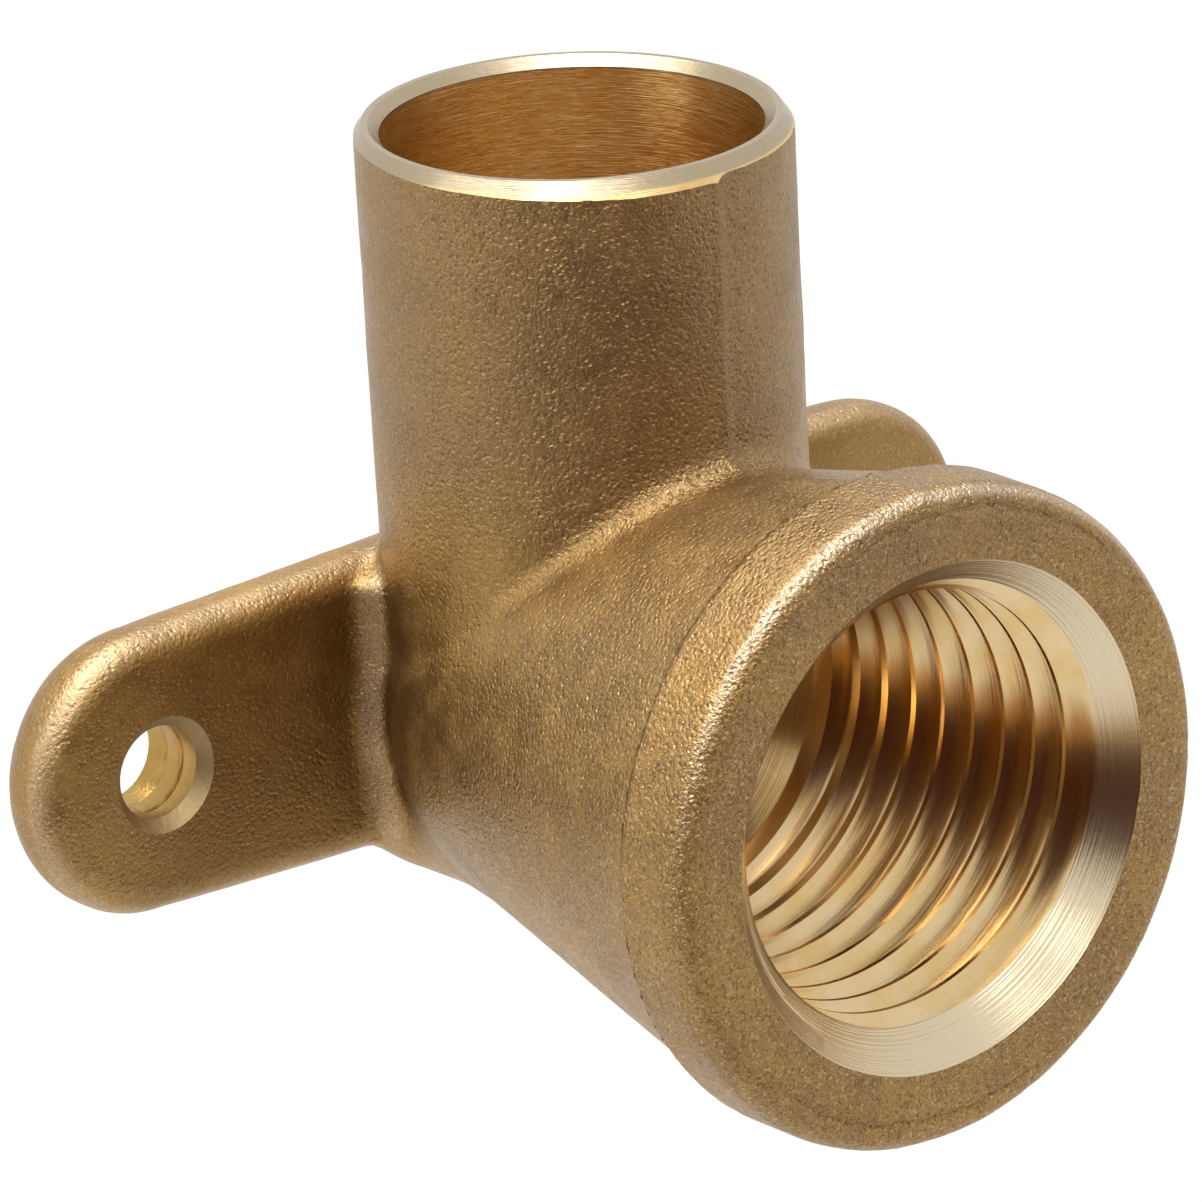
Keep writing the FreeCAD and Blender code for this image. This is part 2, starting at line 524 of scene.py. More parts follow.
def net(distance: Callable[[np.ndarray], Distances], low: Point, high: Point,
        pitch: float) -> tuple[np.ndarray, np.ndarray]:
    """Lays even quads over the surface where a distance is zero.

    Args:
        distance: Signed distance at each row of an array of points.
        low: Lowest corner of the space to look in.
        high: Highest corner of that space.
        pitch: Size of a quad.

    Returns:
        Points and quads that face outwards.
    """
    axes = [np.arange(a, b + pitch, pitch) for a, b in zip(low, high)]
    grid = np.stack(np.meshgrid(*axes, indexing="ij"), axis=-1)
    value = distance(grid.reshape(-1, 3)).reshape(grid.shape[:3])
    points, number = net_points(value)
    return np.array(low) + pitch * points, net_faces(value, number)


@dataclass(frozen=True)
class Casting:
    """Outside of the casting before machining, in millimetres."""

    cup_r: float = 9.09
    cup_axis_y: float = -9.1
    cup_top: float = 25.2
    cup_blend: float = 1.5
    cup_draft: float = 0.005
    cup_lean: Point = (-0.0098, 0.0079, 0.0)
    cup_true_z: float = 20.1
    riser: float = 0.9
    heel_round: float = 1.6
    heel_fade: float = 5.0
    barrel_r: float = 9.67
    flare_start: float = -0.5
    flare_angle: float = 12.43
    lowest: float = -14.05
    least_crossing: float = 0.02
    # The collar round the mouth and the land on its front
    collar_r: float = 14.10
    collar_start: float = 17.75
    collar_ramp: float = 0.3
    collar_round: float = 1.0
    collar_back_round: float = 0.12
    collar_blend: float = 0.12
    reach: float = 21.8
    land_r: float = 12.85
    land_height: float = 0.1
    land_round: float = 0.06
    land_root: float = 4.0
    land_waves: Waves = ((3, 0.4, 0.05), (7, 2.1, 0.04), (13, 5.2, 0.045), (29, 1.3, 0.03), (47, 3.7, 0.03))
    # The ears and the bands that join them to the body
    ear_span: float = 50.7
    ear_end_r: float = 6.13
    ear_drop: float = 0.04
    ear_taper: float = 1.95
    ear_thickness: float = 4.0
    ear_front_round: float = 1.3
    ear_back_round: float = 2.4
    ear_band: float = 1.35
    ear_band_low: float = 0.35
    ear_band_top: float = 0.3
    ear_band_soft: float = 0.25
    band_low_rise: Span = (2.0, 6.0)
    band_top_rise: Span = (5.5, 6.5)
    band_front_rise: Span = (0.6, 2.2)
    # What the two halves of the sand mould leave
    mould_shift: float = 0.16
    shift_soft: float = 0.12
    shift_rise: Span = (-2.0, 3.0)
    shift_on_barrel: float = 0.8
    core_drop: float = 0.13
    seam_ridge: float = 0.09
    seam_width: float = 0.22
    seam_rise: Span = (4.0, 7.0)
    seam_forward: Span = (9.0, 12.0)
    skin_room: float = 0.055
    swell_size: float = 3.4
    swell_depth: float = 0.07
    grain_size: float = 0.9
    grain_depth: float = 0.03
    pit_size: float = 1.9
    pit_depth: float = 0.05
    pit_edge: Span = (0.02, 0.22)
    # The line behind the collar and the ragged line round the land
    step_cut: float = 0.17
    step_front: float = 0.17
    step_back: float = 0.25
    step_clear: float = 0.4
    step_waves: Waves = ((3, 1.0, 0.05), (11, 0.0, 0.03))
    step_segments: int = 240
    land_cut: float = 0.12
    land_line_out: float = 0.15
    land_line_height: float = 0.6
    land_line_half: float = 1.1
    land_line_waves: Waves = ((4, 0.7, 0.05), (13, 0.0, 0.04), (37, 2.0, 0.03))
    land_line_lift: float = 0.3
    land_line_turn: float = 0.15
    land_line_rise: Span = (0.35, 0.8)
    land_segments: int = 300
    # The net of quads
    pitch: float = 0.33
    room_below: Point = (0.71, 0.73, 0.77)
    room_above: Point = (0.7, 0.8, 0.8)
    relax_turns: int = 4
    relax_share: float = 0.5
    settle_turns: int = 2
    slope_gap: float = 0.02
    least_slope: float = 0.25

    def barrel(self, x: np.ndarray, y: np.ndarray, z: np.ndarray) -> Distances:
        """Finds the distance to the ball, flare, collar and land.

        Args:
            x: Places along the ears.
            y: Places towards the wall.
            z: Places along the cup.

        Returns:
            Signed distances.
        """
        along = self.cup_axis_y - y
        r = np.hypot(x, z)
        flare = math.radians(self.flare_angle)
        ball_r = self.barrel_r / math.cos(flare)
        ball = self.flare_start + self.barrel_r * math.tan(flare)
        on_cone = (along - ball) * math.cos(flare) + r * math.sin(flare) > 0
        cone = r * math.cos(flare) - (along - ball) * math.sin(flare) - ball_r
        body = np.where(on_cone, cone, np.hypot(along - ball, r) - ball_r)
        body = np.maximum(body, along - self.collar_start - self.collar_ramp)
        front = along - (self.reach - self.land_height)
        back = self.collar_start + self.collar_ramp / 2 - along
        collar = round_corner(r - self.collar_r, front, self.collar_round)
        collar = round_corner(collar, back, self.collar_back_round)
        edge = r - self.land_r - ripple(np.arctan2(x, z), self.land_waves)
        land = round_corner(edge, along - self.reach, self.land_round)
        land = np.maximum(land, self.reach - self.land_root - along)
        return np.minimum(hollow_blend(body, collar, self.collar_blend), land)

    def post(self, x: np.ndarray, y: np.ndarray, z: np.ndarray) -> Distances:
        """Finds the distance to the upright cup and its rounded heel.

        Args:
            x: Places along the ears.
            y: Places towards the wall.
            z: Places along the cup.

        Returns:
            Signed distances.
        """
        up = z - self.cup_true_z
        across = np.hypot(x - self.cup_lean[0] * up, y - self.cup_axis_y - self.cup_lean[1] * up)
        side = across - self.cup_r - self.cup_draft * (z - self.cup_top / 2)
        under = np.hypot(x, np.minimum(z, 0)) - self.barrel_r
        heel = round_corner(side, under, self.heel_round * rise(-z, 0.0, self.heel_fade) + TINY)
        post = np.where(z > 0, side, heel)
        return np.maximum(post, z - self.cup_top - self.riser)

    def ears(self, x: np.ndarray, y: np.ndarray, z: np.ndarray) -> Distances:
        """Finds the distance to the plate with the two ears.

        Args:
            x: Places along the ears.
            y: Places towards the wall.
            z: Places along the cup.

        Returns:
            Signed distances.
        """
        lean = math.radians(self.ear_taper)
        out = np.abs(x) - (self.ear_span / 2 - self.ear_end_r)
        up = np.abs(z + self.ear_drop)
        straight = out * math.sin(lean) + up * math.cos(lean)
        ended = out * math.cos(lean) - up * math.sin(lean) > 0
        edge = np.where(ended, np.hypot(out, up), straight) - self.ear_end_r
        front = round_corner(edge, -self.ear_thickness - y, self.ear_front_round)
        return np.maximum(front, round_corner(edge, y, self.ear_back_round))

    def distance(self, points: np.ndarray) -> Distances:
        """Finds the distance to the casting's outside.

        Args:
            points: Rows of x, y, z.

        Returns:
            Signed distances, negative inside.
        """
        x, y, z = points.T
        shifted = self.mould_shift * (rise(x, -self.shift_soft, self.shift_soft) - 0.5)
        shifted = shifted * rise(z, *self.shift_rise)
        post = self.post(x, y - shifted, z)
        barrel = self.barrel(x, y, z + self.core_drop + shifted * self.shift_on_barrel)
        # The hollow between cup and barrel narrows where the two run side by side.
        radial = np.hypot(x, y - self.cup_axis_y) * np.hypot(x, z) + TINY
        crossing = np.clip(1.0 - x * x / radial, self.least_crossing, 1.0)
        body = hollow_blend(post, barrel, self.cup_blend * crossing)
        room = self.ear_band + self.ear_band_low * rise(-z, *self.band_low_rise)
        room = room + (self.ear_band_top - room) * rise(z, *self.band_top_rise)
        room = room * rise(-y, *self.band_front_rise)
        whole = band_blend(body, self.ears(x, y, z), room, self.ear_band_soft)
        seam = np.exp(-(x / self.seam_width) ** 2) * rise(z, *self.seam_rise) * rise(-y, *self.seam_forward)
        whole = whole - self.seam_ridge * seam - self.skin_room
        ends = np.maximum(self.lowest - z, self.cup_axis_y - y - self.reach)
        return np.maximum(whole, np.maximum(y, ends))

    def slope(self, points: np.ndarray) -> np.ndarray:
        """Finds the gradient of the distance.

        Args:
            points: Rows of x, y, z.

        Returns:
            Three slopes for each point.
        """
        steps = np.eye(3) * self.slope_gap
        rises = [self.distance(points + step) - self.distance(points - step) for step in steps]
        return np.stack(rises, axis=1) / (2 * self.slope_gap)

    def relaxed(self, points: np.ndarray, faces: np.ndarray) -> np.ndarray:
        """Moves each point part of the way to the middle of its neighbours.

        Args:
            points: Rows of x, y, z.
            faces: Quads of point numbers.

        Returns:
            The moved points.
        """
        total = np.zeros_like(points)
        count = np.zeros(len(points))
        for k in range(4):
            for side in (1, 3):
                np.add.at(total, faces[:, k], points[faces[:, (k + side) % 4]])
                np.add.at(count, faces[:, k], 1.0)
        return points + self.relax_share * (total / count[:, None] - points)

    def settled(self, points: np.ndarray) -> np.ndarray:
        """Moves each point back onto the surface along the distance's slope.

        Args:
            points: Rows of x, y, z.

        Returns:
            The moved points.
        """
        slope = self.slope(points)
        size = np.maximum((slope * slope).sum(axis=1), self.least_slope)
        return points - slope * (self.distance(points) / size)[:, None]

    def blank(self) -> bpy.types.Mesh:
        """Makes the unmachined casting.

        Returns:
            An even closed mesh, in millimetres.
        """
        half = self.ear_span / 2
        lowest = (-half, self.cup_axis_y - self.reach, self.lowest)
        highest = (half, 0.0, self.cup_top + self.riser)
        low = tuple(edge - room for edge, room in zip(lowest, self.room_below))
        high = tuple(edge + room for edge, room in zip(highest, self.room_above))
        points, faces = net(self.distance, low, high, self.pitch)
        for _ in range(self.relax_turns):
            points = self.settled(self.relaxed(points, faces))
        for _ in range(self.settle_turns):
            points = self.settled(points)
        log.info("casting blank: %d points, %d quads", len(points), len(faces))
        return mesh_of("casting_blank", points, faces)

    def skin(self, blank: bpy.types.Mesh, finish: bpy.types.Material) -> bpy.types.Mesh:
        """Lays the uneven sand-mould skin over the blank, all of it inwards.

        Args:
            blank: The smooth casting.
            finish: The cast finish.

        Returns:
            The mesh with its skin and finish.
        """
        shape = NodeShape("mould_skin", {
            "Swell Size": self.swell_size, "Swell Depth": self.swell_depth,
            "Grain Size": self.grain_size, "Grain Depth": self.grain_depth,
            "Pit Size": self.pit_size, "Pit Depth": self.pit_depth, "Material": finish})
        tree = shape.tree
        place = tree.node("GeometryNodeInputPosition")
        swell = tree.noise(place, 1.0 / shape["Swell Size"], 1.0)
        grain = tree.noise(place, 1.0 / shape["Grain Size"], 1.0)
        pits = tree.node("ShaderNodeTexVoronoi", None, {
            "Vector": place, "Scale": 1.0 / shape["Pit Size"]}, output="Distance")
        sunk = (swell * shape["Swell Depth"] + grain * shape["Grain Depth"]
                + (1.0 - pits.step(*self.pit_edge)) * shape["Pit Depth"])
        offset = tree.scaled(tree.node("GeometryNodeInputNormal"), 0.0 - sunk)
        shape.close(tree.node("GeometryNodeSetPosition", None, {
            "Geometry": shape["Geometry"], "Offset": offset}))
        return shape.run(blank)

    def lines(self, place: Matrix) -> tuple[bpy.types.Mesh, bpy.types.Mesh]:
        """Makes the fine line behind the collar and the ragged line round the land, as spaces to take away.

        Args:
            place: Turns Z to point out of the mouth, with its zero on the cup axis.

        Returns:
            A ring for each line.
        """
        edge, clear = self.collar_start + self.collar_ramp, self.collar_r + self.step_clear
        behind = [(edge, self.collar_r - self.step_cut), (edge + self.step_front, clear),
                  (edge - self.step_back, clear)]
        deep, out = self.reach - self.land_height - self.land_cut, self.land_r + self.land_line_out
        above, half = deep + self.land_line_height, self.land_line_half
        front = [(deep, out), (above, out + half), (above, out - half)]

        def even(turn: float) -> Span:
            """Varies the depth of the line a little."""
            return 0.0, float(ripple(turn, self.step_waves))

        def ragged(turn: float) -> Span:
            """Lifts the line out of the face here and there, and lets it wander.

            Args:
                turn: Angle about the outlet.

            Returns:
                The lift and the change of radius.
            """
            sideways = np.abs(np.cos(turn + self.land_line_turn))
            lift = ripple(turn, self.land_line_waves)
            lift += self.land_line_lift * rise(sideways, *self.land_line_rise)
            return float(lift), float(ripple(math.pi / 2 - turn, self.land_waves))

        return (ring("collar_line", behind, place, self.step_segments, even),
                ring("land_line", front, place, self.land_segments, ragged))


@dataclass(frozen=True)
class CupTool:
    """Boring of the solder cup and facing of its rim, in millimetres."""

    axis_y: float = -9.1
    bore_r: float = 7.99
    depth: float = 12.7
    top: float = 25.2
    inner_chamfer: float = 0.44
    outer_r: float = 9.06
    bevel_width: float = 0.35
    bevel_height: float = 0.49
    bevel_room: float = 0.6
    passage_r: float = 6.9
    overrun: float = 1.6
    off_centre: Point = (-0.10, 0.08, 0.0)
    segments: int = 192
    cast_steps: int = 2

    def mesh(self) -> bpy.types.Mesh:
        """Makes the space that the tool takes away.

        Returns:
            A closed mesh with slot 0 for the water passage, which stays as cast, and slot 1 for the rest.
        """
        stop, clear = self.top - self.depth, self.top + self.overrun
        slope = self.bevel_height / self.bevel_width
        out = self.outer_r + self.bevel_room
        profile = [
            (0.0, 0.0), (0.0, self.passage_r), (stop, self.passage_r), (stop, self.bore_r),
            (self.top - self.inner_chamfer, self.bore_r), (self.top, self.bore_r + self.inner_chamfer),
            (self.top, self.outer_r - self.bevel_width),
            (self.top - self.bevel_height - self.bevel_room * slope, out), (clear, out), (clear, 0.0)]
        place = Matrix.Translation(Vector((0, self.axis_y, 0)) + Vector(self.off_centre))
        return lathe("cup_tool", profile, place, self.segments, lambda step: int(step >= self.cast_steps))


@dataclass(frozen=True)
class OutletTool:
    """Boring, chamfering and tapping of the outlet, in millimetres."""

    axis_y: float = -9.1
    reach: float = 21.8
    bore_end: float = 3.6
    bore_taper_depth: float = 9.92
    water_way_r: float = 7.5
    mouth_r: float = 10.91
    crest_r: float = 9.16
    pitch: float = 1.814
    lean: float = 1 / 32
    flank_angle: float = 30.0
    crest_flat: float = 0.22
    crest_ease: float = 0.07
    crest_clear: float = 0.07
    clear_rise: Span = (0.92, 1.0)
    root_round: float = 0.21
    span: float = 0.465
    run_out: float = 1.83
    fading_turns: int = 1
    fade_least: float = 0.03
    lead: float = 1.0
    overrun: float = 1.0
    way_steps: int = 24
    bore_segments: int = 224
    tap_segments: int = 128
    section_points: int = 23

    def place(self) -> Matrix:
        """Turns the tool's Z axis to point out of the mouth, with its zero on the cup axis."""
        return Matrix.Translation((0, self.axis_y, 0)) @ Matrix.Rotation(math.radians(90), 4, "X")

    def bore(self) -> bpy.types.Mesh:
        """Makes the bored space, before tapping.

        Returns:
            A closed mesh from the water way to the chamfered mouth.
        """
        bore_r = self.crest_r - self.bore_taper_depth * self.lean
        chamfer = (self.mouth_r - self.crest_r) / (1 - self.lean)
        clear = self.reach + self.overrun
        way = [(-self.water_way_r, 0.0)] + arc((0, 0), self.water_way_r, 180, 90, self.way_steps)[1:]
        profile = way + [
            (self.bore_end - (bore_r - self.water_way_r), self.water_way_r), (self.bore_end, bore_r),
            (self.reach - self.bore_taper_depth, bore_r),
            (self.reach - chamfer, self.crest_r - chamfer * self.lean),
            (clear, self.mouth_r + self.overrun), (clear, 0.0)]
        return lathe("outlet_tool", profile, self.place(), self.bore_segments)

    def tap(self, finish: bpy.types.Material) -> bpy.types.Mesh:
        """Makes the space that the tap cuts: a tapered right-hand helix that fades in at its inner end.

        Args:
            finish: What the cut faces get.

        Returns:
            A closed mesh whose section has a rounded root and eased crests.
        """
        start = self.bore_end + self.run_out - self.fading_turns * self.pitch
        rows = NodeShape("tap", {
            "Pitch": self.pitch, "Length": self.reach + self.lead - start, "Lean": self.lean,
            "Segments": self.tap_segments, "Section Points": self.section_points,
            "Inner Radius": self.crest_r - (self.reach - start) * self.lean,
            "Half Mouth": (self.pitch - self.crest_flat) / 2, "Span": self.span,
            "Spread": math.tan(math.radians(self.flank_angle)), "Root Round": self.root_round,
            "Crest Ease": self.crest_ease, "Crest Clear": self.crest_clear,
            "Fading Turns": self.fading_turns, "Fade Least": self.fade_least, "Material": finish})
        tree = rows.tree
        helix = tree.node("GeometryNodeCurveSpiral", None, {
            "Resolution": rows["Segments"], "Rotations": rows["Length"] / rows["Pitch"],
            "Start Radius": rows["Inner Radius"], "Height": rows["Length"], "Reverse": True,
            "End Radius": rows["Inner Radius"] + rows["Length"] * rows["Lean"]})
        upright = tree.node("GeometryNodeSetCurveNormal", {"mode": "Z_UP"}, {"Curve": helix})
        done = tree.node("GeometryNodeSplineParameter") * rows["Length"]
        done = done / (rows["Fading Turns"] * rows["Pitch"])
        fade = rows["Fade Least"] + (1.0 - rows["Fade Least"]) * done.step(0.0, 1.0)
        # The section runs from -1 to 1 across one pitch, with its depth as the first coordinate.
        share = tree.node("GeometryNodeInputIndex") / (rows["Section Points"] - 1.0) * 2.0 - 1.0
        along = share * rows["Pitch"] * rows["Span"]
        rounded = (along * along + rows["Root Round"] * rows["Root Round"]).root()
        steep = (rows["Half Mouth"] - rounded) / rows["Spread"] / rows["Crest Ease"]
        swollen = steep.math("EXPONENT", steep) + 1.0
        eased = rows["Crest Ease"] * swollen.math("LOGARITHM", swollen, math.e)
        eased = eased - rows["Crest Clear"] * share.absolute().step(*self.clear_rise)
        spots = tree.node("GeometryNodeSetPosition", None, {
            "Geometry": tree.node("GeometryNodeMeshLine", None, {"Count": rows["Section Points"]}),
            "Position": tree.node("ShaderNodeCombineXYZ", None, {"X": eased, "Y": along})})
        open_line = tree.node("GeometryNodeMeshToCurve", None, {"Mesh": spots})
        section = tree.node("GeometryNodeSetSplineCyclic", None, {"Geometry": open_line, "Cyclic": True})
        rows.close(tree.node("GeometryNodeCurveToMesh", None, {
            "Curve": upright, "Profile Curve": section, "Scale": fade, "Fill Caps": True}))
        mesh = rows.run(bpy.data.meshes.new("tap_start"))
        mesh.transform(self.place() @ Matrix.Translation((0, 0, start)))
        return outward(mesh)


@dataclass(frozen=True)
class ScrewDrill:
    """Drilling and chamfering of the two screw holes, in millimetres."""

    spacing: float = 38.1
    count: int = 2
    hole_r: float = 2.0
    chamfer: float = 0.52
    back_chamfer: float = 0.28
    tool_marks: tuple[float, ...] = (1.5, 2.6)
    mark_depth: float = 0.035
    mark_width: float = 0.14
    through: float = 4.0
    overrun: float = 1.0
    segments: int = 96

    def bit(self) -> bpy.types.Mesh:
        """Makes one drill.

        Returns:
            A closed mesh at the middle of the row's wall plane, pointing forward.
        """
        front = self.through + self.overrun
        profile = [
            (-self.overrun, 0.0), (-self.overrun, self.hole_r + self.back_chamfer + self.overrun),
            (self.back_chamfer, self.hole_r)]
        for mark in self.tool_marks:
            profile += [(mark - self.mark_width, self.hole_r), (mark, self.hole_r + self.mark_depth),
                        (mark + self.mark_width, self.hole_r)]
        profile += [(self.through - self.chamfer, self.hole_r),
                    (front, self.hole_r + self.chamfer + self.overrun), (front, 0.0)]
        return lathe("drill", profile, Matrix.Rotation(math.radians(90), 4, "X"), self.segments)

    def mesh(self, finish: bpy.types.Material) -> bpy.types.Mesh:
        """Makes the drill at both ears.

        Args:
            finish: What the cut faces get.

        Returns:
            The two drills as one mesh.
        """
        pair = NodeShape("drill_pair", {"Spacing": self.spacing, "Count": self.count, "Material": finish})
        tree = pair.tree
        start = tree.node("ShaderNodeCombineXYZ", None, {"X": pair["Spacing"] / -2.0})
        step = tree.node("ShaderNodeCombineXYZ", None, {"X": pair["Spacing"]})
        row = tree.node("GeometryNodeMeshLine", {"mode": "OFFSET"}, {
            "Count": pair["Count"], "Start Location": start, "Offset": step})
        pair.close(tree.node("GeometryNodeInstanceOnPoints", None,
                             {"Points": row, "Instance": pair["Geometry"]}, output="Instances"))
        return pair.run(self.bit())


def machined(body: bpy.types.Mesh, tool: bpy.types.Mesh,
             finishes: Sequence[bpy.types.Material]) -> bpy.types.Mesh:
    """Takes a tool's space out of a body.

    Args:
        body: The closed mesh that is cut.
        tool: The closed mesh that is taken away.
        finishes: What the cut faces get, by the tool's material slots.

    Returns:
        The cut mesh.
    """
    if not tool.materials:
        for finish in finishes:
            tool.materials.append(finish)
    things = [add_object(mesh.name, mesh) for mesh in (body, tool)]
    cut = things[0].modifiers.new("cut", "BOOLEAN")
    cut.operation = "DIFFERENCE"
    cut.solver = "MANIFOLD"
    cut.material_mode = "TRANSFER"
    cut.object = things[1]
    result = plain_mesh(things[0])
    for thing in things:
        bpy.data.objects.remove(thing)
    log.info("cut %s: %d faces left", tool.name, len(result.polygons))
    return result


@dataclass(frozen=True)
class CastFinish:
    """Sand-cast bronze: brown-gold skin with a fine grain, whose pale flecks are partly painted glints.

    A window gives where a painted shade or highlight begins, is whole, begins to fade and ends, in
    millimetres forward of the ears' front or, for the corner, of the mouth's front.
    """

    line_at: float
    front_at: float
    ear_front: float
    name: str = "cast_bronze"
    deep: Colour = (0.110, 0.058, 0.018)
    brown: Colour = (0.300, 0.176, 0.060)
    gold: Colour = (0.410, 0.245, 0.078)
    pale: Colour = (0.640, 0.470, 0.245)
    shade: Colour = (0.150, 0.075, 0.012)
    painted_highlight: Colour = (0.720, 0.580, 0.420)
    upper_tone: Colour = (0.190, 0.135, 0.085)
    # Where the painted shade and painted highlights lie, and how strong they are.
    painted_ear_shade: Window = (-0.6, -0.1, 0.15, 0.9)
    painted_nook_shade: Window = (1.2, 1.8, 2.2, 5.0)
    painted_ear_edge_highlight: Window = (-1.4, -1.0, -0.5, -0.1)
    band: Window = (0.1, 0.4, 1.0, 1.4)
    corner: Window = (-0.75, -0.5, -0.3, -0.1)
    upper_tone_share: float = 0.35
    painted_ear_shade_share: float = 0.5
    painted_nook_shade_share: float = 0.6
    painted_crease_shade_share: float = 0.55
    painted_corner_highlight_share: float = 0.6
    painted_ear_edge_highlight_share: float = 0.3
    painted_band_light_share: float = 0.25
    cloud_scale: float = 0.16
    stain_scale: float = 0.55
    grain_scale: float = 5.5
    fine_scale: float = 12.0
    cell_scale: float = 3.4
    speck_size: float = 0.13
    roughness: float = 0.38
    metallic: float = 0.95
    coat: float = 0.13
    coat_roughness: float = 0.3
    bump_depth: float = 0.00017
    bump_strength: float = 0.85

    def placed(self, tree: Tree, colour: Sock, spot: Sequence[Sock], fine: Sock) -> tuple[Sock, Sock]:
        """Paints shade by the ears and the collar line, and highlights on the edges and the root bands.

        Args:
            tree: The material's tree.
            colour: The skin's colour.
            spot: How far sideways, forward and up a point lies, in millimetres.
            fine: The finest grain.

        Returns:
            The new colour, and how strongly the corner of the mouth is painted with highlight.
        """
        side, forward, height = spot
        level = height.absolute()
        past_ear = forward - self.ear_front
        # Painted shade on the inner part of the ears' front faces.
        painted_ear_shade = past_ear.window(self.painted_ear_shade) * (1.0 - level.step(5.0, 6.4))
        painted_ear_shade = painted_ear_shade * (1.0 - side.absolute().step(16.0, 23.5))
        colour = tree.mix(painted_ear_shade * self.painted_ear_shade_share, colour, self.shade)
        # Painted shade on the cup and barrel sides beside the ear roots.
        painted_nook_shade = past_ear.window(self.painted_nook_shade) * (1.0 - level.step(3.5, 7.0))
        colour = tree.mix(painted_nook_shade * self.painted_nook_shade_share, colour, self.shade)
        # Painted shade along the line behind the collar.
        painted_crease_shade = 1.0 - (forward - self.line_at).absolute().step(0.05, 0.15)
        colour = tree.mix(painted_crease_shade * self.painted_crease_shade_share, colour, self.deep)
        # Painted highlight on the collar's front corner, stronger towards the top.
        corner = (forward - self.front_at).window(self.corner) * (0.15 + 0.85 * height.step(2.0, 10.0))
        # Painted highlight on the ears' rounded front edges.
        painted_ear_edge_highlight = past_ear.window(self.painted_ear_edge_highlight) * (1.0 - height.step(8.0, 9.0))
        # Painted light on the bands that join the ears to the body.
        band = past_ear.window(self.band) * (1.0 - level.step(5.5, 7.0))
        # All painted highlights together, broken up by the grain.
        painted_highlights = corner * self.painted_corner_highlight_share + painted_ear_edge_highlight * self.painted_ear_edge_highlight_share + band * self.painted_band_light_share
        return tree.mix(painted_highlights * (0.5 + 0.5 * fine.step(0.4, 0.6)), colour, self.painted_highlight), corner

    def build(self) -> bpy.types.Material:
        """Makes the material.

        Returns:
            The cast finish.
        """
        material, tree = new_material(self.name)
        mm = tree.place_mm()
        cloud = tree.noise(mm, self.cloud_scale, 3.0, 0.55)
        stain = tree.noise(mm, self.stain_scale, 4.0, 0.6)
        grain = tree.noise(mm, self.grain_scale, 2.0, 0.6)
        fine = tree.noise(mm, self.fine_scale, 1.0, 0.5)
        cells = tree.node("ShaderNodeTexVoronoi", {"feature": "F1"}, {
            "Vector": mm, "Scale": self.cell_scale}, output="Distance")
        snapped = tree.node("ShaderNodeVectorMath", {"operation": "SNAP"},
                            {0: mm, 1: (self.speck_size,) * 3})
        speck = tree.node("ShaderNodeTexWhiteNoise", {"noise_dimensions": "3D"}, {"Vector": snapped})
        side, back, height = tree.parts(mm)
        forward = 0.0 - back
        # The grain is coarser on the barrel and the cup than on the ears.
        rugged = (forward - 0.6 * height).step(9.0, 16.0)
        rugged = rugged.math("MAXIMUM", rugged, 0.6 * height.step(7.0, 12.0))
        colour = tree.mix((cloud * 0.6 + stain * 0.4).step(0.36, 0.64), self.brown, self.gold)
        dark = 1.0 - grain.step(0.30, 0.54)
        colour = tree.mix(dark * (0.24 + 0.34 * rugged), colour, self.deep)
        # Pale flecks: partly grain tone and partly painted glints, stronger on the barrel and the cup.
        light = (fine.step(0.54, 0.72) * 0.58 + speck.step(0.90, 0.98) * 0.4) * (0.6 + 0.4 * rugged)
        colour = tree.mix(light, colour, self.pale)
        # Darker and greyer from 8 mm up, fully so above 14 mm.
        colour = tree.mix(self.upper_tone_share * height.step(8.0, 14.0), colour, self.upper_tone)
        colour, corner = self.placed(tree, colour, (side, forward, height), fine)
        # The corner that carries the painted highlight is also made smoother.
        rough = self.roughness - 0.08 * corner + 0.16 * stain.step(0.3, 0.7) - 0.12 * fine.step(0.55, 0.75)
        relief = (grain * 0.55 + fine * 0.3 + cells.step(0.0, 0.5) * 0.35) * (0.5 + 0.7 * rugged)
        tree.surface(tree.node("ShaderNodeBsdfPrincipled", None, {
            "Base Color": colour, "Roughness": rough, "Metallic": self.metallic,
            "Normal": tree.bump(relief, self.bump_depth, self.bump_strength),
            "Coat Weight": self.coat, "Coat Roughness": self.coat_roughness}))
        return material


